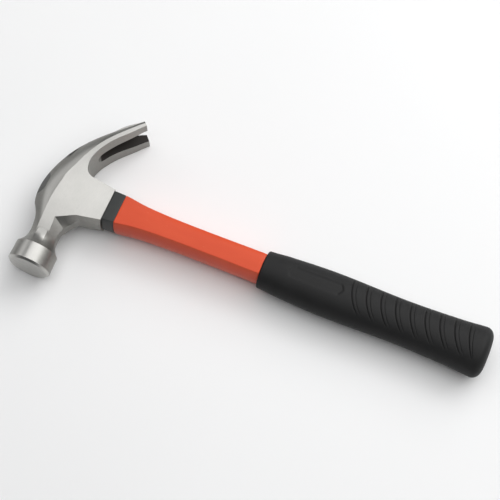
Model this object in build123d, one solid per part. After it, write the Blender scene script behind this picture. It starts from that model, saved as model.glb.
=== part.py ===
"""Claw hammer with a fibreglass handle, built as its separate pieces.

The hammer lies on its side on a bench. +X runs down the handle from the head to the butt,
+Y points to the claws, the striking face looks along -Y and +Z is up, through the cheeks.
While it is being modelled, X = Y = Z = 0 is where the striking axis crosses the handle axis.
At the end every piece is moved so that the origin is at the middle of the whole hammer's
box and on the bench. All sizes are in millimetres.
"""
from build123d import *
from math import atan2, cos, hypot, pi, sin
import os

os.makedirs("parts", exist_ok=True)

# ---- overall sizes ---------------------------------------------------------------------
overall_length = 330.0      # crown of the head to the end of the grip
crown_height = 17.8         # striking axis to the crown
eye_depth = 33.4            # striking axis to the bottom of the head
face_reach = 60.6           # handle axis to the striking face
claw_reach = 67.0           # handle axis to the tips of the claws
claw_drop = 33.4            # striking axis to the tips of the claws

# ---- glass-fibre bar and the resin that holds it in the eye -------------------------------
core_depth = 17.0           # along Y
core_thickness = 11.6       # along Z
core_recess = 2.8           # bar's end below the crown
core_butt_gap = 10.0        # bar's end short of the end of the grip
resin_gap = 1.6             # resin between the bar and the eye at the bottom of the head
resin_taper = 0.9           # extra resin at the crown, where the eye opens out

# ---- head: striking end ------------------------------------------------------------------
bell_dia = 30.8
bell_length = 14.1          # striking face to the bell's rear rim
bell_draft = 0.3            # how much smaller the bell's radius is at its rear rim
face_bevel = 1.5            # ground bevel round the striking face
rim_round = 1.0             # rounding of the bell's rear rim
flare_length = 10.5         # bell's rear rim to where the neck is slimmest
neck_flats = 19.4           # across the flats of the eight-sided neck
neck_flat_width = 7.0       # width of the neck's flats
facet_swell = 0.05          # how far the flats of the flare stand out at their middles

# ---- head: cheeks, eye and claws -----------------------------------------------------------
eye_front_wall = 2.1        # steel in front of and behind the eye, at the head's edges
eye_side_wall = 2.4         # steel beside the eye at the bottom of the head
cheek_wall = 2.9            # steel beside the eye below the crown
front_bulge = 2.1           # how far the front of the head stands out between its edges
crown_drop = 6.0            # how far down the bevel between the cheeks and the crown reaches
crown_reach = 13.0          # how far it reaches in from the crown
crown_fullness = 0.4        # 1 rounds it fully off, 0 leaves a flat bevel
claw_root_width = 26.6
claw_tip_width = 31.4
claw_tip_thickness = 3.9
claw_edge_round = 2.4       # rounding of the claws' outer edges at the tips
slot_tip_width = 10.4       # nail slot on the outside of the claws, at the tips
slot_root_width = 2.6
slot_lean = 20.0            # degrees that the slot's walls lean, wider on the inside
slot_length = 33.0

# ---- collar and jacket -----------------------------------------------------------------------
collar_length = 9.0
collar_step = 0.9           # how far the collar's edges stand inside the head's
collar_core_fit = 0.1       # clearance of the collar round the bar
collar_taper = 0.4          # how far the collar's edges draw in towards the jacket
collar_swell = 0.3          # how far its sides grow out towards the jacket
jacket_front_wall = 1.6     # jacket in front of the bar, where the jacket is slimmest
jacket_side_wall = 4.8      # jacket beside the bar, where the jacket is slimmest
jacket_bulge = 2.4          # how far its front and back stand out between the edges
jacket_tail_wall = 2.2      # jacket round the bar inside the grip
jacket_butt_gap = 6.0       # jacket's end short of the end of the grip

# ---- rubber grip -------------------------------------------------------------------------------
grip_start = 149.4          # striking axis to the grip
grip_front_wall = 3.0       # rubber in front of the jacket's tail at the mouth of the grip
grip_side_wall = 3.9        # rubber beside the jacket's tail at the mouth of the grip
grip_swell_width = 32.8     # the swell under the forefinger
grip_swell_thickness = 27.0
grip_waist_width = 31.2
grip_waist_thickness = 25.8
grip_butt_width = 36.6
grip_butt_thickness = 29.8
butt_round = 7.0
grip_rim_round = 1.2
panel_start = 18.5          # mouth of the grip to the blank recessed panel
panel_length = 39.0
panel_width = 8.4
panel_depth = 0.8
groove_start = 62.0         # mouth of the grip to the first groove
groove_count = 9
groove_pitch = 10.4
groove_width = 1.1
groove_depth = 0.8

# ---- places and sections worked out from the sizes ------------------------------------------------
butt_x = overall_length - crown_height
bell_r = bell_dia / 2
rim_y = bell_length - face_reach
neck_r = neck_flats / 2
flat_half = neck_flat_width / 2
neck_y = rim_y + flare_length
eye_end_width = core_depth + 2 * (resin_gap + eye_front_wall)
eye_end_thickness = core_thickness + 2 * (resin_gap + eye_side_wall)
cheek = core_thickness / 2 + resin_gap + resin_taper + cheek_wall
edge_y = eye_end_width / 2
collar_end = eye_depth + collar_length
collar_width = eye_end_width - 2 * (collar_step + collar_taper)
collar_thickness = eye_end_thickness + 2 * collar_swell
waist_width = core_depth + 2 * (jacket_front_wall - jacket_bulge)
waist_thickness = core_thickness + 2 * jacket_side_wall
tail_depth = core_depth + 2 * jacket_tail_wall
tail_thickness = core_thickness + 2 * jacket_tail_wall
grip_neck_width = tail_depth + 2 * grip_front_wall
grip_neck_thickness = tail_thickness + 2 * grip_side_wall
over = 5.0                  # how far waste and cutters stand past what they cut

# Corners of the head's side view that several of its curves share
crown_front = (2.0 - crown_height, 1.3 - crown_height)
crown_back = (3.0 - crown_height, 13.0)
tip_out = (claw_drop - claw_tip_thickness / 2, claw_reach)
tip_in = (claw_drop + claw_tip_thickness / 3, claw_reach - claw_tip_thickness * 0.85)
claw_root = (8.5, edge_y + 11.2)
throat = (17.0, edge_y + 2.0)
chin = (21.0, -edge_y - front_bulge - 2.2)
neck_foot = (neck_r, neck_y)


def part_way(start, end, across, along):
    """Point part of the way from start to end, by one share in X and another in Y."""
    return (start[0] + (end[0] - start[0]) * across, start[1] + (end[1] - start[1]) * along)


def cross_plane(x):
    """Plane across the handle at x, whose own X and Y are the hammer's Y and Z."""
    return Plane(origin=(x, 0, 0), x_dir=(0, 1, 0), z_dir=(1, 0, 0))


def oval(x, depth, thickness):
    """Round-ended section across the handle at x."""
    return cross_plane(x) * SlotOverall(depth, thickness)


def barrel_section(x, width, thickness, bulge):
    """Section with flat sides, crisp edges and a bowed front and back, at x."""
    half = width / 2
    high = thickness / 2
    with BuildSketch(cross_plane(x)) as sketch:
        with BuildLine():
            Line((-half, high), (half, high))
            ThreePointArc((half, high), (half + bulge, 0), (half, -high))
            Line((half, -high), (-half, -high))
            ThreePointArc((-half, -high), (-half - bulge, 0), (-half, high))
        make_face()
    return sketch.sketch


# ---- head ----------------------------------------------------------------------------------------
def head_outline():
    """Side view of the head without its bell: neck, crown, claws, eye and front."""
    neck_back = (-neck_r, neck_y)
    with BuildSketch() as sketch:
        with BuildLine():
            Polyline((0, rim_y - 2), (-neck_r, rim_y - 2), neck_back)
            Spline(neck_back, part_way(neck_back, crown_front, 0.25, 0.62), crown_front,
                   tangents=((0, 1), (-0.75, 1)))
            Spline(crown_front, (-crown_height, -5.0), crown_back,
                   part_way(crown_back, tip_out, 0.27, 0.42),
                   part_way(crown_back, tip_out, 0.63, 0.73), tip_out,
                   tangents=((-0.45, 1), (1, 0.62)))
            Line(tip_out, tip_in)
            Spline(tip_in, part_way(tip_in, claw_root, 0.27, 0.2), part_way(tip_in, claw_root, 0.55, 0.4),
                   part_way(tip_in, claw_root, 0.78, 0.6), part_way(tip_in, claw_root, 0.94, 0.8),
                   claw_root, part_way(claw_root, throat, 0.25, 0.7), throat,
                   tangents=((-0.72, -0.7), (1, -0.1)))
            Polyline(throat, (eye_depth, edge_y), (eye_depth, -edge_y - front_bulge), chin)
            Spline(chin, part_way(chin, neck_foot, 0.56, 0.25), part_way(chin, neck_foot, 0.96, 0.66),
                   neck_foot, tangents=((-1, -0.2), (0, -1)))
            Polyline(neck_foot, (neck_r, rim_y - 2), (0, rim_y - 2))
        make_face()
    return sketch.sketch


def side_section(x, body):
    """Thickness of the head along Y, as a closed shape across the handle at x."""
    half = [(rim_y - 4, neck_r), (-20.0, min(neck_r, body)), (0.0, body), (11.0, body + 0.3),
            (claw_root[1], claw_root_width / 2), (claw_reach - 3, claw_tip_width / 2),
            (claw_reach + 6, claw_tip_width / 2 + 0.3)]
    with BuildSketch(cross_plane(x)) as sketch:
        with BuildLine():
            upper = Spline(*half)
            lower = Spline(*[(y, -z) for y, z in half])
            Line(upper @ 0, lower @ 0)
            Line(upper @ 1, lower @ 1)
        make_face()
    return sketch.sketch


def front_cutter():
    """Waste that leaves the facet from the neck, round the corner and along the eye's front.

    Each station is a triangle: a point on the cheek's edge, one on the front and one outside.
    """
    low = eye_end_thickness / 2
    last = eye_depth + 1
    corner_edge = (flat_half - 0.5, part_way(chin, neck_foot, 0, 0.28)[1])
    corner_front = part_way(chin, neck_foot, 0.9, 0.5)
    chin_edge = part_way(chin, neck_foot, 1, 0.09)
    chin_front = part_way(chin, neck_foot, 0.62, 0.28)
    stations = [
        [(flat_half, rim_y - 2, neck_r), (neck_r, rim_y - 2, flat_half),
         (neck_r + over, rim_y - 2, neck_r + over)],
        [(flat_half, neck_y, neck_r), (neck_r, neck_y, flat_half), (neck_r + over, neck_y, neck_r + over)],
        [(*corner_edge, neck_r + 0.1), (*corner_front, flat_half),
         (neck_r + over, corner_front[1] - 2.6, cheek + over)],
        [(*chin_edge, cheek - 0.4), (*chin_front, flat_half),
         (chin_front[0] + 3, chin_front[1] - 4, cheek + over)],
        [(16.0, -edge_y - 3.4, cheek - 0.7), (19.4, -edge_y - 5.0, flat_half),
         (21.0, -edge_y - 9.0, cheek + over)],
        [(last, -edge_y, low), (last, -edge_y - front_bulge, flat_half),
         (last, -edge_y - front_bulge - over, cheek + over)],
    ]
    sections = []
    for corners in stations:
        sections.append(make_face(Polyline(*corners, close=True)))
    return loft(sections, ruled=True)


def crown_station(point, inward, thick, drop, reach, fullness):
    """Waste at one place along the crown: fullness 1 leaves a round, 0 leaves a flat facet."""
    place = Vector(*point, 0)
    depth = Vector(*inward, 0).normalized()
    up = Vector(0, 0, 1)
    margin = 3.0
    on_crown = place + up * (thick - drop)
    on_cheek = place + depth * reach + up * thick
    rise = (up * drop - depth * reach) * (0.5 ** 0.5 - 0.5) * fullness
    curve = Spline(on_crown, (on_crown + on_cheek) * 0.5 + rise, on_cheek)
    rest = Polyline(on_cheek, on_cheek + up * margin, place - depth * margin + up * (thick + margin),
                    on_crown - depth * margin, on_crown)
    return make_face([curve, rest])


def crown_cutter():
    """Waste from the bell's rear rim, along the neck and the crown, to the claw tip."""
    root = claw_root_width / 2
    tip = claw_tip_width / 2
    facet = neck_r - flat_half
    return loft([
        crown_station((-neck_r, rim_y - 2), (1, 0), neck_r, facet, facet, 0.06),
        crown_station((-neck_r, neck_y), (1, 0), neck_r, facet, facet, 0.06),
        crown_station(crown_front, (1, 0.1), neck_r + 0.3, crown_drop, crown_reach * 0.8, crown_fullness),
        crown_station((-crown_height, -4.0), (1, 0), cheek - 0.1, crown_drop, crown_reach, crown_fullness),
        crown_station(crown_back, (1, -0.35), cheek + 0.6, crown_drop, crown_reach, crown_fullness),
        crown_station(part_way(crown_back, tip_out, 0.27, 0.42), (1, -0.75), root + 0.7,
                      crown_drop * 0.9, crown_reach * 0.72, crown_fullness),
        crown_station(part_way(crown_back, tip_out, 0.63, 0.73), (1, -1), (root + tip) / 2 + 0.6,
                      crown_drop * 0.6, crown_reach * 0.36, crown_fullness),
        crown_station(tip_out, (0.53, -0.85), tip, claw_edge_round, claw_edge_round, 1),
        crown_station((tip_out[0] + over, tip_out[1] + 3), (0.53, -0.85), tip, claw_edge_round,
                      claw_edge_round, 1),
    ])


def slot_cutter():
    """Nail slot: a vee along the claws whose walls lean, so that it is wider inside."""
    plane = Plane(origin=(claw_drop - claw_tip_thickness, claw_reach, 0), x_dir=(1, 1, 0),
                  z_dir=(1, -1, 0))
    root = slot_root_width / 2
    mouth = slot_tip_width / 2 + 1.2
    with BuildSketch(plane) as sketch:
        with BuildLine():
            Polyline((-slot_length, root), (over, mouth), (over, -mouth), (-slot_length, -root))
            ThreePointArc((-slot_length, root), (-slot_length - root, 0), (-slot_length, -root))
        make_face()
    return extrude(sketch.sketch, amount=claw_drop - 7, taper=-slot_lean)


def neck_section(y, inner, round_share):
    """Eight-sided section across the striking axis at y; round_share 1 makes it a circle."""
    corner_angle = atan2(flat_half, neck_r)
    corner = inner * (round_share + (1 - round_share) * hypot(flat_half, neck_r) / neck_r)
    facet = inner * (round_share + (1 - round_share) * (flat_half + neck_r) / neck_r / 2 ** 0.5)
    with BuildSketch(Plane(origin=(0, y, 0), x_dir=(1, 0, 0), z_dir=(0, 1, 0))) as sketch:
        with BuildLine():
            for quarter in range(4):
                start = quarter * pi / 2
                turns = (start - corner_angle, start, start + corner_angle, start + pi / 4,
                         start + pi / 2 - corner_angle)
                reaches = (corner, inner + facet_swell, corner, facet + facet_swell, corner)
                spots = [(reach * cos(turn), reach * sin(turn)) for turn, reach in zip(turns, reaches)]
                ThreePointArc(*spots[:3])
                ThreePointArc(*spots[2:])
        make_face()
    return sketch.sketch


def make_flare():
    """Flare whose eight sides run out of the neck and round off into the bell's rim."""
    rim = bell_r - bell_draft - rim_round
    start = rim_y + rim_round
    return loft([
        neck_section(start, rim, 1),
        neck_section(start + flare_length * 0.2, (rim * 0.62 + neck_r * 0.38), 0.9),
        neck_section(start + flare_length * 0.42, (rim * 0.3 + neck_r * 0.7), 0.65),
        neck_section(start + flare_length * 0.7, (rim * 0.08 + neck_r * 0.92), 0.2),
        neck_section(neck_y + 3, neck_r - 0.4, 0.05),
    ])


def make_bell():
    """Striking end: bell with a bevelled face, in one with the flare that narrows to the neck."""
    rim_r = bell_r - bell_draft
    inside = (rim_r - rim_round * 2.6, rim_y + rim_round * 1.6)
    with BuildSketch() as sketch:
        with BuildLine():
            Polyline((0, -face_reach), (bell_r - face_bevel, -face_reach),
                     (bell_r, face_bevel - face_reach), (rim_r, rim_y),
                     (rim_r - rim_round, rim_y + rim_round), inside, (0, inside[1]), (0, -face_reach))
        make_face()
    return revolve(sketch.sketch, Axis.Y) + make_flare()


def eye_space():
    """Tapered hole through the head, from the bottom of the eye to the crown."""
    low = 2 * resin_gap
    high = 2 * (resin_gap + resin_taper)
    bottom = oval(eye_depth, core_depth + low, core_thickness + low)
    top = oval(-crown_height - 1, core_depth + high, core_thickness + high)
    return loft([bottom, top], ruled=True)


def make_head():
    """Forged head in one piece: bell, neck, cheeks with the eye, crown and claws."""
    plate = extrude(head_outline(), amount=claw_tip_width, both=True)
    envelope = loft([side_section(-crown_height - 12, cheek), side_section(4.0, cheek),
                     side_section(eye_depth, eye_end_thickness / 2),
                     side_section(eye_depth + 12, eye_end_thickness / 2 - 0.2)])
    head = plate & envelope
    for waste in (front_cutter(), crown_cutter()):
        head = head - waste - mirror(waste, Plane.XY)
    return head - slot_cutter() + make_bell() - eye_space()


# ---- handle ----------------------------------------------------------------------------------------
def make_core():
    """Pultruded glass-fibre bar, from just under the crown almost to the butt."""
    start = core_recess - crown_height
    return extrude(oval(start, core_depth, core_thickness), amount=butt_x - core_butt_gap - start)


def make_epoxy(core):
    """Resin that fills the eye round the bar and over its end, level with the crown."""
    block = extrude(head_outline(), amount=core_thickness, both=True)
    waste = crown_cutter()
    return (eye_space() & block) - waste - mirror(waste, Plane.XY) - core


def make_collar():
    """Black collar that seals the bottom of the eye."""
    top_width = collar_width + 2 * collar_taper
    top = barrel_section(eye_depth, top_width, collar_thickness - 2 * collar_swell - 0.2, front_bulge)
    low = barrel_section(collar_end, collar_width, collar_thickness, front_bulge)
    bore = oval(eye_depth, core_depth + 2 * collar_core_fit, core_thickness + 2 * collar_core_fit)
    return loft([top, low]) - extrude(bore, amount=collar_length)


def jacket_tail():
    """Slim end of the jacket inside the grip, with the bar's space not yet cut."""
    tail = oval(grip_start, tail_depth, tail_thickness)
    return extrude(tail, amount=butt_x - jacket_butt_gap - grip_start)


def make_jacket(core):
    """Moulded jacket: bare between the collar and the grip, slimmer inside the grip."""
    span = grip_start - collar_end
    shoulder = part_way((collar_width, collar_thickness), (waist_width, waist_thickness), 0.55, 0.6)
    bare = loft([
        barrel_section(collar_end, collar_width, collar_thickness, front_bulge),
        barrel_section(collar_end + span * 0.12, *shoulder, jacket_bulge),
        barrel_section(collar_end + span * 0.32, waist_width + 0.6, waist_thickness, jacket_bulge),
        barrel_section(collar_end + span * 0.6, waist_width, waist_thickness, jacket_bulge),
        barrel_section(grip_start, waist_width + 0.4, waist_thickness + 0.4, jacket_bulge),
    ])
    return bare + jacket_tail() - core


def grip_body(shrink):
    """Outer shape of the grip, drawn in all round by shrink."""
    span = butt_x - grip_start
    stations = [
        (0.0, grip_neck_width, grip_neck_thickness),
        (0.09, grip_neck_width + 2.4, grip_neck_thickness + 1.8),
        (0.3, grip_swell_width, grip_swell_thickness),
        (0.62, grip_waist_width, grip_waist_thickness),
        (0.86, (grip_waist_width + grip_butt_width) / 2, (grip_waist_thickness + grip_butt_thickness) / 2),
        (1 - butt_round / span, grip_butt_width, grip_butt_thickness),
        (1.0, grip_butt_width, grip_butt_thickness),
    ]
    sections = []
    for share, width, thickness in stations:
        ellipse = Ellipse(width / 2 - shrink, thickness / 2 - shrink)
        sections.append(cross_plane(grip_start + span * share) * ellipse)
    return loft(sections)


def panel_cutter():
    """Waste of the blank panel that is sunk into each side of the grip, for the upper side."""
    middle = grip_start + panel_start + panel_length / 2
    outline = Plane.XY.offset(grip_butt_thickness) * Pos(middle, 1.5) * SlotOverall(panel_length, panel_width)
    return extrude(outline, amount=-grip_butt_thickness) - grip_body(panel_depth)


def groove_blade(x):
    """Upright curved blade that starts at x near the back and sweeps towards the butt."""
    with BuildSketch(Plane.XY.offset(grip_butt_thickness)) as sketch:
        with BuildLine():
            Spline((x, 13.0), (x + 1.2, 4.0), (x + 4.0, -4.0), (x + 10.5, -11.5))
        trace(line_width=groove_width)
    return extrude(sketch.sketch, amount=-grip_butt_thickness)


def make_grip():
    """Rubber grip moulded over the jacket, with blank panels and curved grooves."""
    grip = grip_body(0)
    grip = fillet(grip.faces().sort_by(Axis.X)[-1].edges(), butt_round)
    grip = fillet(grip.faces().sort_by(Axis.X)[0].edges(), grip_rim_round)
    panel = panel_cutter()
    grip = grip - panel - mirror(panel, Plane.XY)
    inner = grip_body(groove_depth)
    for index in range(groove_count):
        groove = groove_blade(grip_start + groove_start + index * groove_pitch) - inner
        grip = grip - groove - mirror(groove, Plane.XY)
    return grip - jacket_tail()


core = make_core()
pieces = {
    "hammer_head": make_head(),
    "fibreglass_core": core,
    "eye_epoxy": make_epoxy(core),
    "eye_collar": make_collar(),
    "handle_jacket": make_jacket(core),
    "rubber_grip": make_grip(),
}

solids = []
for name, piece in pieces.items():
    solids.extend(piece.solids())
box = Compound(solids).bounding_box()
to_bench = Location((-box.center().X, -box.center().Y, -box.min.Z))
for name, piece in pieces.items():
    export_step(Compound(piece.solids()).moved(to_bench), f"parts/{name}.step")
print("moved by", to_bench.position, "box", box.size)
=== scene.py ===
import math

import bmesh
import bpy
from mathutils import Matrix, Vector


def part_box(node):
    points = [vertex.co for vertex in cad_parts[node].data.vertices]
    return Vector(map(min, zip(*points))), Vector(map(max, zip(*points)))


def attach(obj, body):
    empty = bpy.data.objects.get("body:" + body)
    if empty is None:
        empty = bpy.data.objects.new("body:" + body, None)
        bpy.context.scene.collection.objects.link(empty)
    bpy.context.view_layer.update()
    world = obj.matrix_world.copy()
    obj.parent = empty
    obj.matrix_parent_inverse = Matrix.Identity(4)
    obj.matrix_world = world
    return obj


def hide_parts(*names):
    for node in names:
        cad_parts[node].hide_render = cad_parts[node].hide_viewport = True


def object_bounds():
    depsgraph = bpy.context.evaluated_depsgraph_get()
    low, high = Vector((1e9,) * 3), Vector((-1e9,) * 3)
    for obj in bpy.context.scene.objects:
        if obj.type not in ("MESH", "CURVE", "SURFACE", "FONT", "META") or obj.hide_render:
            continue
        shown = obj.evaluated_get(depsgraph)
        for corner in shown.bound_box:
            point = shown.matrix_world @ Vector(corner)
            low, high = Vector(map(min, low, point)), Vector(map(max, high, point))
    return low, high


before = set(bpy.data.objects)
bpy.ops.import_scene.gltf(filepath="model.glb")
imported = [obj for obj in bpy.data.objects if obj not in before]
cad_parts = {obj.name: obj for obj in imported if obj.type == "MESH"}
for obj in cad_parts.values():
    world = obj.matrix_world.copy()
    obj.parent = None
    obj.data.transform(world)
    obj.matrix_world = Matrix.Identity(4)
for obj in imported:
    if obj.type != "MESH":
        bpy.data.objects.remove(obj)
cad_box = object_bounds()
MM = 0.001

head_low, head_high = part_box("hammer_head")
head_middle = (head_low + head_high) / 2

# Where the steel's finishes and its painted shade meet, in metres from the head's middle, or as a share of
# upright
FACE_BEVEL = 0.0019
FACE_GROUND = head_low.y - head_middle.y + FACE_BEVEL
FACE_BLEND = 0.0006
CHEEKS = (0.0080, 0.0092)
# FLATS: how nearly up or down a surface must face to take the bright colour; the others take the darker one,
# partly finish and partly painted shade
FLATS = (0.80, 0.99)
# The next two bound the nail slot, where a near-black painted shade is laid
SLOT_SHADE_WALLS = (0.55, 0.8)
SLOT_SHADE_START = (0.018, 0.024)


# ---- materials -------------------------------------------------------------------------------
class Value:
    """One socket of a finish. Sums with it add Math nodes."""

    def __init__(self, finish, socket):
        self.finish = finish
        self.socket = socket

    def maths(self, operation, first, second):
        return self.finish.node("ShaderNodeMath", {"operation": operation}, {0: first, 1: second})

    def __add__(self, other):
        return self.maths("ADD", self, other)

    def __radd__(self, other):
        return self.maths("ADD", other, self)

    def __sub__(self, other):
        return self.maths("SUBTRACT", self, other)

    def __rsub__(self, other):
        return self.maths("SUBTRACT", other, self)

    def __mul__(self, other):
        return self.maths("MULTIPLY", self, other)

    def __rmul__(self, other):
        return self.maths("MULTIPLY", other, self)


class Finish:
    """One material: a Principled shader with its fixed settings, and the nodes that feed it."""

    def __init__(self, name, fixed):
        self.material = bpy.data.materials.new(name)
        self.material.use_nodes = True
        self.tree = self.material.node_tree
        self.tree.nodes.clear()
        self.shader = self.tree.nodes.new("ShaderNodeBsdfPrincipled")
        output = self.tree.nodes.new("ShaderNodeOutputMaterial")
        self.tree.links.new(self.shader.outputs[0], output.inputs["Surface"])
        for socket, value in fixed.items():
            self.shader.inputs[socket].default_value = value

    def feed(self, socket, value):
        if isinstance(value, Value):
            self.tree.links.new(value.socket, socket)
        else:
            socket.default_value = value

    def node(self, kind, settings, sockets, result=0):
        """Adds a node, applies its settings, then its sockets' values or links."""
        node = self.tree.nodes.new(kind)
        for name, value in settings.items():
            setattr(node, name, value)
        for name, value in sockets.items():
            self.feed(node.inputs[name], value)
        return Value(self, node.outputs[result])

    def place(self, turn=(0, 0, 0), stretch=(1, 1, 1), middle=(0, 0, 0)):
        """The piece's own coordinates from the middle given, turned and stretched."""
        here = self.node("ShaderNodeTexCoord", {}, {}, "Object")
        moved = self.node("ShaderNodeVectorMath", {"operation": "SUBTRACT"}, {0: here, 1: middle})
        return self.node("ShaderNodeMapping", {}, {"Vector": moved, "Rotation": turn, "Scale": stretch})

    def noise(self, place, scale, detail=3.0, roughness=0.55, twist=0.0):
        return self.node("ShaderNodeTexNoise", {}, {"Vector": place, "Scale": scale, "Detail": detail,
                                                    "Roughness": roughness, "Distortion": twist})

    def step(self, value, low, high, start=0.0, end=1.0):
        """Runs smoothly from start to end as value goes from low to high."""
        return self.node("ShaderNodeMapRange", {"interpolation_type": "SMOOTHSTEP"},
                         {"Value": value, "From Min": low, "From Max": high, "To Min": start, "To Max": end})

    def blend(self, amount, first, second):
        """Mixes two colours."""
        return self.node("ShaderNodeMix", {"data_type": "RGBA"}, {0: amount, 6: first, 7: second}, 2)

    def axis(self, place, name):
        return self.node("ShaderNodeSeparateXYZ", {}, {"Vector": place}, name)

    def give(self, **sockets):
        for name, value in sockets.items():
            self.feed(self.shader.inputs[name.replace("_", " ")], value)

    def bumps(self, *layers):
        """Stacks bump layers, each a height from 0 to 1 and its depth in metres."""
        below = None
        for height, depth in layers:
            sockets = {"Height": height, "Distance": depth, "Strength": 1.0}
            if below:
                sockets["Normal"] = below
            below = self.node("ShaderNodeBump", {}, sockets)
        self.give(Normal=below)


def steel_finish():
    """Forged steel: cheeks, flats and striking face left bright from grinding, the rest left satin and
    darker; that darker colour on surfaces facing sideways is partly forged finish and partly painted shade,
    and the nail slot's near-black inside is painted shade.
    """
    steel = Finish("ground_steel", {"Metallic": 1.0, "IOR": 2.5})
    here = steel.place(middle=head_middle)
    facing = steel.node("ShaderNodeNewGeometry", {}, {}, "Normal")
    upright = steel.node("ShaderNodeMath", {"operation": "ABSOLUTE"}, {0: steel.axis(facing, "Z")})
    height = steel.node("ShaderNodeMath", {"operation": "ABSOLUTE"}, {0: steel.axis(here, "Z")})
    along = steel.axis(here, "Y")
    outside = steel.step(height, *CHEEKS)
    clouds = steel.noise(steel.place(), 70.0, 3.0)
    # Painted shade in part: surfaces that face sideways rather than up or down take the darker colour,
    # besides their forged finish
    flat = steel.step(upright + (clouds - 0.5) * 0.02, *FLATS)
    struck = steel.step(along, FACE_GROUND, FACE_GROUND - FACE_BLEND)
    ground_and_lit = steel.node("ShaderNodeMath", {"operation": "MAXIMUM"}, {0: flat * outside, 1: struck})
    # Painted shade: the nail slot's walls inside the cheeks, from a little way in, take a near-black colour
    slot_shade = steel.step(upright, *SLOT_SHADE_WALLS) * (1 - outside) * steel.step(along, *SLOT_SHADE_START)

    lines = steel.noise(steel.place(stretch=(5.0, 0.3, 5.0)), 900.0, 2.0, 0.6)
    turned = steel.noise(steel.place(stretch=(0.3, 5.0, 0.3)), 900.0, 2.0, 0.6)
    grain = steel.noise(steel.place(), 2400.0, 2.0)
    forged = steel.noise(steel.place(), 420.0, 4.0, 0.6)
    nicks = steel.step(steel.noise(steel.place(), 260.0, 4.0, 0.7), 0.66, 0.74)
    grinding = lines * (1 - struck) + turned * struck

    bright = steel.blend(clouds, (0.45, 0.445, 0.425, 1), (0.53, 0.522, 0.50, 1))
    bright = steel.blend(steel.step(grinding, 0.4, 0.7, 0.0, 0.3), bright, (0.39, 0.385, 0.37, 1))
    # darker colour of the sideways-facing surfaces: forged finish and painted shade
    forged_and_shaded = steel.blend(forged, (0.27, 0.266, 0.25, 1), (0.36, 0.354, 0.335, 1))
    shade = steel.blend(ground_and_lit, forged_and_shaded, bright)
    shade = steel.blend(nicks * 0.3, shade, (0.33, 0.325, 0.31, 1))
    # near-black painted shade in the nail slot
    shade = steel.blend(slot_shade, shade, (0.035, 0.032, 0.030, 1))
    roughness = 0.40 - ground_and_lit * 0.13 + grinding * 0.07 + forged * 0.06 + slot_shade * 0.1
    steel.give(Base_Color=shade, Roughness=roughness)
    steel.bumps((forged * (1 - ground_and_lit), 0.00003), (grain, 0.000010), (grinding * ground_and_lit, 0.000016))
    return steel.material


def jacket_finish():
    """Glossy moulded orange plastic with faint flow marks, fine scratches and a clear gloss."""
    jacket = Finish("orange_plastic", {"IOR": 1.49, "Coat Roughness": 0.12, "Specular IOR Level": 0.16})
    flow = jacket.noise(jacket.place(stretch=(0.3, 1, 1)), 90.0, 2.0)
    orange_peel = jacket.noise(jacket.place(), 700.0, 2.0)
    speck = jacket.noise(jacket.place(), 3000.0, 2.0)
    scored = jacket.noise(jacket.place(stretch=(0.12, 1, 1), turn=(0, 0, 0.12)), 1500.0, 2.0, 0.7)
    scratch = jacket.step(scored, 0.68, 0.76)
    colour = jacket.blend(flow, (0.61, 0.070, 0.026, 1), (0.70, 0.092, 0.036, 1))
    colour = jacket.blend(jacket.step(speck, 0.6, 0.8, 0.0, 0.12), colour, (0.85, 0.22, 0.10, 1))
    colour = jacket.blend(scratch * 0.25, colour, (0.80, 0.25, 0.13, 1))
    roughness = 0.26 + flow * 0.08 + scratch * 0.15
    jacket.give(Base_Color=colour, Roughness=roughness, Coat_Weight=0.08 - scratch * 0.04)
    jacket.bumps((orange_peel, 0.000012), (flow, 0.00005))
    return jacket.material


def rubber_finish():
    """Matte black rubber with a fine pebbled skin, dusty on the high spots."""
    rubber = Finish("black_rubber", {"IOR": 1.5, "Specular IOR Level": 0.3})
    pebble = rubber.node("ShaderNodeTexVoronoi", {"feature": "SMOOTH_F1"},
                         {"Vector": rubber.place(), "Scale": 2200.0, "Smoothness": 0.4})
    patches = rubber.noise(rubber.place(), 70.0, 3.0)
    dust = rubber.noise(rubber.place(), 1800.0, 3.0, 0.7)
    colour = rubber.blend(patches, (0.0070, 0.0070, 0.0074, 1), (0.0130, 0.0130, 0.0130, 1))
    colour = rubber.blend(rubber.step(dust, 0.56, 0.8, 0.0, 0.4), colour, (0.030, 0.029, 0.028, 1))
    rubber.give(Base_Color=colour, Roughness=0.5 + patches * 0.12 + dust * 0.08)
    rubber.bumps((pebble, 0.00006), (dust, 0.00003))
    return rubber.material


def collar_finish():
    """Satin black plastic with a fine spark-eroded texture."""
    collar = Finish("black_plastic", {"IOR": 1.48, "Specular IOR Level": 0.5})
    texture = collar.noise(collar.place(), 2400.0, 3.0, 0.6)
    patches = collar.noise(collar.place(), 120.0, 2.0)
    colour = collar.blend(patches, (0.016, 0.018, 0.0175, 1), (0.026, 0.028, 0.027, 1))
    colour = collar.blend(collar.step(texture, 0.6, 0.8, 0.0, 0.3), colour, (0.07, 0.072, 0.07, 1))
    collar.give(Base_Color=colour, Roughness=0.36 + texture * 0.15)
    collar.bumps((texture, 0.00003), (patches, 0.00004))
    return collar.material


def bar_finish():
    """Glass-fibre bar: pale resin with the fibres running along it."""
    bar = Finish("fibreglass", {"IOR": 1.5})
    fibres = bar.noise(bar.place(stretch=(0.04, 1, 1)), 2600.0, 3.0, 0.65)
    clouds = bar.noise(bar.place(), 200.0, 2.0)
    colour = bar.blend(fibres, (0.62, 0.54, 0.30, 1), (0.80, 0.74, 0.50, 1))
    colour = bar.blend(clouds * 0.4, colour, (0.50, 0.42, 0.22, 1))
    bar.give(Base_Color=colour, Roughness=0.5 + fibres * 0.15)
    bar.bumps((fibres, 0.00005), (clouds, 0.00004))
    return bar.material


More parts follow.
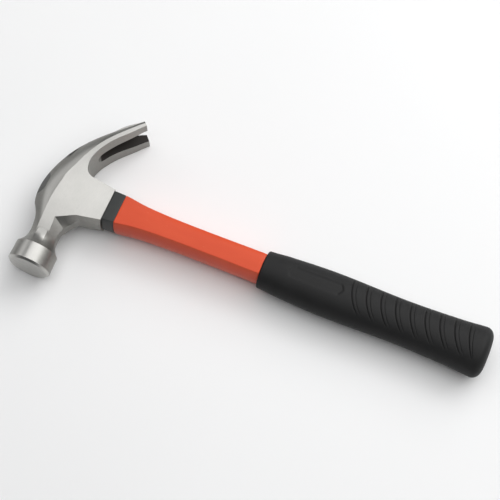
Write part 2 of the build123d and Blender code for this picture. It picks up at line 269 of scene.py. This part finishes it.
def resin_finish():
    """Grey potting resin, dressed level with the crown, with tiny bubbles and a soft gloss."""
    resin = Finish("epoxy", {"IOR": 1.55})
    bubbles = resin.node("ShaderNodeTexVoronoi", {"feature": "F1"}, {"Vector": resin.place(), "Scale": 900.0})
    swirl = resin.noise(resin.place(), 160.0, 3.0, 0.6, 0.6)
    colour = resin.blend(swirl, (0.075, 0.075, 0.072, 1), (0.115, 0.114, 0.110, 1))
    resin.give(Base_Color=colour, Roughness=0.32 + swirl * 0.15)
    resin.bumps((resin.step(bubbles, 0.0, 0.25), 0.00008), (swirl, 0.0002))
    return resin.material


def floor_finish():
    """Smooth pale studio sheet."""
    sheet = Finish("studio_sheet", {"IOR": 1.45, "Specular IOR Level": 0.15})
    tone = sheet.noise(sheet.place(), 3.0, 2.0)
    colour = sheet.blend(tone, (0.86, 0.86, 0.86, 1), (0.90, 0.90, 0.90, 1))
    sheet.give(Base_Color=colour, Roughness=0.8 + tone * 0.05)
    return sheet.material


# ---- making the handle's pieces ----------------------------------------------------------------
def new_object(name, data):
    made = bpy.data.objects.new(name, data)
    bpy.context.scene.collection.objects.link(made)
    return made


def node_size(node):
    """Lowest corner, middle and size of a node's box, in millimetres."""
    low_corner, high_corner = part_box(node)
    return low_corner / MM, (low_corner + high_corner) / 2 / MM, (high_corner - low_corner) / MM


def first_ring(bm, points):
    """A closed ring of edges through the points, made from a circle."""
    bmesh.ops.create_circle(bm, segments=len(points), radius=1.0)
    bm.verts.ensure_lookup_table()
    ring = list(bm.verts)
    for vert, point in zip(ring, points):
        vert.co = point
    return ring


def ring_edges(bm, ring):
    return [bm.edges.get((ring[i - 1], ring[i])) for i in range(len(ring))]


def next_ring(bm, ring, points):
    """Extrudes a ring and sets the new one on its own points."""
    grown = bmesh.ops.extrude_edge_only(bm, edges=ring_edges(bm, ring))["geom"]
    fresh = {item for item in grown if isinstance(item, bmesh.types.BMVert)}
    following = []
    for vert, point in zip(ring, points):
        twin = next(e.other_vert(vert) for e in vert.link_edges if e.other_vert(vert) in fresh)
        twin.co = point
        following.append(twin)
    return following


def skin(rings, closed_round):
    """A piece whose skin runs through rings of points, either joined end to start or capped."""
    bm = bmesh.new()
    first = first_ring(bm, rings[0])
    last = first
    for points in rings[1:]:
        last = next_ring(bm, last, points)
    ends = ring_edges(bm, first) + ring_edges(bm, last)
    if closed_round:
        bmesh.ops.bridge_loops(bm, edges=ends)
    else:
        bmesh.ops.holes_fill(bm, edges=ends, sides=0)
    bmesh.ops.recalc_face_normals(bm, faces=bm.faces)
    return bm


def finish_piece(name, bm, levels, material, node):
    """Writes the mesh out in metres, smooth, and puts the piece in its node's place."""
    bmesh.ops.scale(bm, verts=bm.verts, vec=(MM, MM, MM))
    mesh = bpy.data.meshes.new(name)
    bm.to_mesh(mesh)
    bm.free()
    mesh.shade_smooth()
    piece = new_object(name, mesh)
    mesh.materials.append(material)
    if levels:
        smooth = piece.modifiers.new("smooth", "SUBSURF")
        smooth.levels = levels
        smooth.render_levels = levels
    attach(piece, "root")
    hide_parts(node)
    return piece


def eased(stations, x):
    """Value at x on a smooth curve through (x, value) stations."""
    if x <= stations[0][0]:
        return stations[0][1]
    if x >= stations[-1][0]:
        return stations[-1][1]
    last = len(stations) - 1
    here = max(i for i in range(last) if stations[i][0] <= x)

    def slope(i):
        if i in (0, last):
            return 0.0
        return (stations[i + 1][1] - stations[i - 1][1]) / (stations[i + 1][0] - stations[i - 1][0])

    (x0, v0), (x1, v1) = stations[here], stations[here + 1]
    span = x1 - x0
    u = (x - x0) / span
    return (v0 * (2 * u ** 3 - 3 * u ** 2 + 1) + v1 * (3 * u ** 2 - 2 * u ** 3)
            + span * slope(here) * (u ** 3 - 2 * u ** 2 + u) + span * slope(here + 1) * (u ** 3 - u ** 2))


# ---- jacket and collar, in millimetres ---------------------------------------------------------
EDGE = 0.45         # how far the soft corners of the jacket and the collar reach
CORNER_CUT = 0.12   # share of that by which a corner is cut back
BULGE = 2.4         # bow of the jacket's front and back
COLLAR_BULGE = 2.1
COLLAR_DRAW = 0.8   # how much thinner the collar is at the eye
BAR_GAP = 0.2       # room round the bar inside the collar, on the whole width
REAR_DROP = 1.5     # how far the jacket's sides fall to the rear edge
JACKET_STEPS = 24
TAIL = (21.4, 16.0)     # depth and thickness of the jacket inside the grip


def barrel(x, width, thickness, bulge, shrink=0.0, rear_drop=0.0):
    """Section at x with flat sides, softly broken edges and a bowed front and back.

    The sides fall away by rear_drop to the rear edge, on the claws' side.
    """
    half = width / 2 - shrink * 0.6
    tall = thickness / 2 - shrink
    radius = (bulge ** 2 + (thickness / 2) ** 2) / (2 * bulge)
    reach = math.asin(thickness / 2 / radius)
    broken = EDGE * CORNER_CUT
    side = []
    for share in (EDGE / (2 * half), 0.12, 0.28, 0.5, 0.75, 1 - EDGE / (2 * half)):
        side.append((half - 2 * half * share, tall - rear_drop * max(1 - share / 0.45, 0.0) ** 2))
    bow = []
    for share in (EDGE / thickness, 0.16, 0.38, 0.62, 0.84, 1 - EDGE / thickness):
        angle = reach * (1 - 2 * share)
        out = radius * math.cos(angle) - (radius - bulge) - shrink
        bow.append((half + max(out, 0.0), math.sin(angle) / math.sin(reach) * tall))
    rear_tall = tall - rear_drop
    loop = [(half - broken, rear_tall - broken)] + side
    loop += [(broken - half, tall - broken)] + [(-y, z) for y, z in bow]
    loop += [(broken - half, broken - tall)] + [(y, -z) for y, z in reversed(side)]
    loop += [(half - broken, broken - rear_tall)] + [(y, -z * rear_tall / tall) for y, z in bow]
    return [Vector((x, handle.y + y, handle.z + z)) for y, z in loop]


def oval_like(template, x, depth, thickness):
    """Round-ended section at x whose points face the same ways as the template's."""
    radius = thickness / 2
    run = (depth - thickness) / 2
    made = []
    for point in template:
        angle = math.atan2(point.z - handle.z, point.y - handle.y)
        across, up = math.cos(angle), math.sin(angle)
        if abs(up) * run <= abs(across) * radius:
            reach = run * abs(across) + math.sqrt(max(radius ** 2 - (run * up) ** 2, 0.0))
        else:
            reach = radius / abs(up)
        made.append(Vector((x, handle.y + reach * across, handle.z + reach * up)))
    return made


grip_low, handle, grip_size = node_size("rubber_grip")
collar_low, _, collar_size = node_size("eye_collar")
jacket_low, _, jacket_size = node_size("handle_jacket")
_, _, core_size = node_size("fibreglass_core")

collar_start = collar_low.x
collar_end = collar_start + collar_size.x
grip_mouth = grip_low.x
jacket_end = jacket_low.x + jacket_size.x
collar_thick = collar_size.z
collar_wide = collar_size.y - 2 * COLLAR_BULGE
edge_wide = jacket_size.y - 2 * COLLAR_BULGE
waist_thick = jacket_size.z - 0.4

# Collar: from the eye's mouth to the jacket, round the bar
rings = []
top_thick = collar_thick - COLLAR_DRAW
inner = barrel(collar_start, collar_wide, top_thick, COLLAR_BULGE)
rings.append(oval_like(inner, collar_end, core_size.y + BAR_GAP, core_size.z + BAR_GAP))
rings.append(oval_like(inner, collar_start, core_size.y + BAR_GAP, core_size.z + BAR_GAP))
for share, shrink in ((0.0, 0.5), (0.0, 0.35), (0.025, 0.1), (0.06, 0.0), (0.3, 0.0), (0.6, 0.0), (0.93, 0.0),
                      (0.975, 0.08), (1.0, 0.3), (1.0, 0.5)):
    x = collar_start + (collar_end - collar_start) * share
    wide = collar_wide + (edge_wide - collar_wide) * share
    thick = top_thick + (collar_thick - top_thick) * share
    rings.append(barrel(x, wide, thick, COLLAR_BULGE, shrink))
collar = skin(rings, True)
finish_piece("eye_seal_collar", collar, 2, collar_finish(), "eye_collar")

# Jacket: flat sides with crisp edges, and the slim tail inside the grip
bare = grip_mouth - collar_end
widths = [(0.0, edge_wide), (0.12, edge_wide - 3.5), (0.32, edge_wide - 5.8), (0.6, edge_wide - 6.4),
          (1.0, edge_wide - 6.0)]
thicks = [(0.0, collar_thick), (0.12, waist_thick - 0.4), (0.32, waist_thick), (0.6, waist_thick),
          (1.0, waist_thick + 0.4)]
bulges = [(0.0, COLLAR_BULGE), (0.12, BULGE), (1.0, BULGE)]
drops = [(0.0, 0.0), (0.2, REAR_DROP * 0.8), (0.4, REAR_DROP), (1.0, REAR_DROP)]
template = barrel(collar_end, edge_wide, collar_thick, BULGE)
rings = [oval_like(template, x, core_size.y, core_size.z) for x in (jacket_end, collar_end)]
for x, shrink in ((0.0, 0.5), (0.0, 0.35), (0.22, 0.08), (0.7, 0.0)):
    rings.append(barrel(collar_end + x, edge_wide, collar_thick, COLLAR_BULGE, shrink))
for step in range(1, JACKET_STEPS + 1):
    share = step / JACKET_STEPS
    rings.append(barrel(collar_end + bare * share, eased(widths, share), eased(thicks, share),
                        eased(bulges, share), 0.0, eased(drops, share)))
rings.append(barrel(grip_mouth, eased(widths, 1.0), eased(thicks, 1.0), BULGE, 0.4, REAR_DROP))
for x in (grip_mouth, grip_mouth + 0.5, (grip_mouth + jacket_end) / 2, jacket_end - 0.5, jacket_end):
    rings.append(oval_like(template, x, *TAIL))
jacket = skin(rings, True)
finish_piece("handle_sleeve", jacket, 2, jacket_finish(), "handle_jacket")


# ---- rubber grip, in millimetres ---------------------------------------------------------------
GRIP_POINTS = 100       # points round the grip
GROOVES = 9
GROOVE_PITCH = 10.4
FIRST_GROOVE = 62.0     # from the mouth of the grip
GROOVE_DEPTH = 0.9
GROOVE_BACK = 13.0      # from the handle's axis to where the grooves start and end
GROOVE_FRONT = -11.5
SWEEP = 10.5            # how far each groove runs towards the butt
PANEL = (18.5, 57.5, 1.5, 4.2)    # start, end, middle and half width of the blank panel
PANEL_DEPTH = 0.8
PANEL_EDGE = 0.24       # how far from the panel's edge the rows of points beside it stand
LAST_SWEPT = 142.0      # from here to the butt the rings straighten
MOUTH_ROUND = 1.2
MOUTH_RIM = 1.6         # how far the mouth's flat rim is inside the skin
BUTT_ROUND = 7.0
BUTT_CROWN = 0.7        # how far the end stands proud of its round edge
TAIL_GAP = 0.1          # room round the jacket's tail, on the whole width

grip_length = grip_size.x
butt_wide, butt_thick = grip_size.y, grip_size.z
across_stations = [(0.0, butt_wide - 9.2), (0.09, butt_wide - 6.8), (0.3, butt_wide - 3.8),
                   (0.62, butt_wide - 5.4), (0.86, butt_wide - 2.7), (0.957, butt_wide), (1.0, butt_wide)]
through_stations = [(0.0, butt_thick - 6.0), (0.09, butt_thick - 4.2), (0.3, butt_thick - 2.8),
                    (0.62, butt_thick - 4.0), (0.86, butt_thick - 2.0), (0.957, butt_thick),
                    (1.0, butt_thick)]


def smooth_share(value, start, end):
    share = min(max((value - start) / (end - start), 0.0), 1.0)
    return share * share * (3 - 2 * share)


def grip_point(x, angle, sink):
    """Point on the grip's skin at x from the mouth, sunk in by sink."""
    share = x / grip_length
    half = eased(across_stations, share) / 2
    tall = eased(through_stations, share) / 2
    y = handle.y + (half - sink) * math.cos(angle)
    z = handle.z + (tall - sink) * math.sin(angle)
    return Vector((grip_mouth + x, y, z))


def grip_ring(back, front, sink, groove):
    """Ring round the grip, at back on its rear edge and at front on its front edge."""
    points = []
    for index in range(GRIP_POINTS):
        angle = 2 * math.pi * index / GRIP_POINTS
        y = eased(across_stations, back / grip_length) / 2 * math.cos(angle)
        share = min(max((GROOVE_BACK - y) / (GROOVE_BACK - GROOVE_FRONT), 0.0), 1.0)
        fade = smooth_share(y, GROOVE_BACK, GROOVE_BACK - 2.5)
        fade *= smooth_share(y, GROOVE_FRONT, GROOVE_FRONT + 3.5)
        points.append(grip_point(back + (front - back) * share ** 2.5, angle, sink + groove * fade))
    return points


def grip_front(back):
    """Where a ring that is at back on the rear edge meets the front edge, in the grooved part."""
    if back <= LAST_SWEPT:
        return back + SWEEP
    room = grip_length - BUTT_ROUND - LAST_SWEPT
    return LAST_SWEPT + SWEEP + (back - LAST_SWEPT) / room * (room - SWEEP)


def panel_distance(x, y):
    """How far a place on the grip is outside the panel's edge, and which way that is."""
    start, end, centre, half = PANEL
    nearest = min(max(x, start + half), end - half)
    away = Vector((x - nearest, y - centre))
    return away.length - half, away.normalized() if away.length > 0.01 else Vector((0, 1))


def sink_panels(bm):
    """Presses the blank panel into both sides of the grip, with its edge on a clean line."""
    for vert in bm.verts:
        x, y, z = vert.co.x - grip_mouth, vert.co.y - handle.y, vert.co.z - handle.z
        if not PANEL[0] - 2 < x < PANEL[1] + 2 or abs(z) < TAIL[1] / 2 + 1:
            continue
        gap, outward = panel_distance(x, y)
        if abs(gap) < 0.4:
            shift = math.copysign(PANEL_EDGE, gap) - gap
            x, y = x + outward.x * shift, y + outward.y * shift
            half = eased(across_stations, x / grip_length) / 2
            tall = eased(through_stations, x / grip_length) / 2
            z = math.copysign(tall * math.sqrt(1 - (y / half) ** 2), z)
        if gap < 0:
            z -= math.copysign(PANEL_DEPTH, z)
        vert.co = (grip_mouth + x, handle.y + y, handle.z + z)


rings = []
template = grip_ring(0.0, 0.0, 0.0, 0.0)
for x in (grip_length - 6.0, grip_length - 6.6, grip_length / 2, 0.6, 0.0):
    rings.append(oval_like(template, grip_mouth + x, TAIL[0] + TAIL_GAP, TAIL[1] + TAIL_GAP))
rings.append(grip_ring(0.0, 0.0, MOUTH_RIM, 0.0))
for turn in (0, 20, 45, 70, 90):
    angle = math.radians(turn)
    x = MOUTH_ROUND * (1 - math.cos(angle))
    rings.append(grip_ring(x, x, MOUTH_ROUND * (1 - math.sin(angle)), 0.0))
straight = [1.8, 4.0, 6.5, 9.0, 11.5, 14.0, 16.0, 17.4]
straight += [PANEL[0] - 0.4 + 0.6 * step for step in range(10)]
straight += [PANEL[0] + 7.5 + 2.0 * step for step in range(12)]
straight += [PANEL[1] - 5.0 + 0.6 * step for step in range(10)]
for x in straight:
    rings.append(grip_ring(x, x, 0.0, 0.0))
for back, front in ((58.6, 60.6), (59.5, 63.2), (60.3, 66.2), (60.85, 69.0)):
    rings.append(grip_ring(back, front, 0.0, 0.0))
# One groove and the fine line after it: place along the grip and share of the groove's depth
tread = [(-0.7, 0.0), (-0.42, 0.08), (-0.16, 0.8), (0.16, 0.8), (0.42, 0.08), (0.7, 0.0),
         (2.3, 0.0), (2.52, 0.04), (2.72, 0.35), (2.9, 0.35), (3.1, 0.04), (3.35, 0.0),
         (5.4, 0.0), (7.5, 0.0)]
for index in range(GROOVES):
    profile = tread[:-2] if index == GROOVES - 1 else tread
    for offset, depth in profile:
        back = FIRST_GROOVE + index * GROOVE_PITCH + offset
        rings.append(grip_ring(back, grip_front(back), 0.0, depth * GROOVE_DEPTH))
for back in (150.6, 153.2):
    rings.append(grip_ring(back, grip_front(back), 0.0, 0.0))
shoulder = grip_length - BUTT_ROUND
for turn in (0, 11, 23, 36, 50, 65, 80):
    angle = math.radians(turn)
    x = shoulder + (BUTT_ROUND - BUTT_CROWN) * math.sin(angle)
    rings.append(grip_ring(x, x, BUTT_ROUND * (1 - math.cos(angle)), 0.0))
for rise, sink in ((0.62, 6.4), (0.4, 8.2), (0.2, 10.2), (0.08, 12.0)):
    rings.append(grip_ring(grip_length - rise, grip_length - rise, sink, 0.0))
grip = skin(rings, False)
sink_panels(grip)
finish_piece("soft_grip", grip, 1, rubber_finish(), "rubber_grip")


# ---- head, bar and resin: shapes kept from the frame -------------------------------------------
kept = {"hammer_head": steel_finish(), "fibreglass_core": bar_finish(), "eye_epoxy": resin_finish()}
for node, finish in kept.items():
    for material_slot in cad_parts[node].material_slots:
        material_slot.material = finish


# ---- floor, camera and lights, in metres and watts ---------------------------------------------
FLOOR_HALF = 4.0
FLOOR_GAP = 0.0002
low, high = cad_box
middle = (low + high) / 2

sheet_mesh = bpy.data.meshes.new("studio_floor")
bm = bmesh.new()
bmesh.ops.create_grid(bm, x_segments=1, y_segments=1, size=FLOOR_HALF)
bmesh.ops.translate(bm, verts=bm.verts, vec=(0, 0, low.z - FLOOR_GAP))
bm.to_mesh(sheet_mesh)
bm.free()
floor = new_object("studio_floor", sheet_mesh)
sheet_mesh.materials.append(floor_finish())

look_at = middle + Vector((-0.01138, 0.0066, 0.0))
turn, lift, distance = math.radians(22.5), math.radians(67.3), 0.8974
toward = Vector((math.sin(turn) * math.cos(lift), -math.cos(turn) * math.cos(lift), math.sin(lift)))
camera_data = bpy.data.cameras.new("camera")
camera_data.lens = 93.6
camera_data.sensor_width = 36.0
camera = new_object("camera", camera_data)
aimed = toward.to_track_quat("Z", "Y").to_matrix().to_4x4()
camera.matrix_world = Matrix.Translation(look_at + toward * distance) @ aimed
bpy.context.scene.camera = camera


def softbox(name, place, aim, width, depth, power):
    lamp = bpy.data.lights.new(name, "AREA")
    lamp.shape = "RECTANGLE"
    lamp.size = width
    lamp.size_y = depth
    lamp.energy = power
    box = new_object(name, lamp)
    away = (Vector(place) - Vector(aim)).normalized()
    box.matrix_world = Matrix.Translation(place) @ away.to_track_quat("Z", "Y").to_matrix().to_4x4()


softbox("softbox_above", (0.6, 0.4, 1.25), (0.6, 0.4, 0.0), 2.6, 2.1, 27.0)
softbox("softbox_behind", (0.7, 1.5, 1.3), middle, 2.0, 1.2, 18.0)
softbox("softbox_crown_side", (-1.3, 0.25, 0.75), head_middle, 1.0, 0.8, 2.5)

world = bpy.data.worlds.new("studio")
world.use_nodes = True
world.node_tree.nodes["Background"].inputs["Color"].default_value = (0.9, 0.92, 0.95, 1)
world.node_tree.nodes["Background"].inputs["Strength"].default_value = 0.1
bpy.context.scene.world = world
bpy.context.scene.view_settings.view_transform = "Standard"
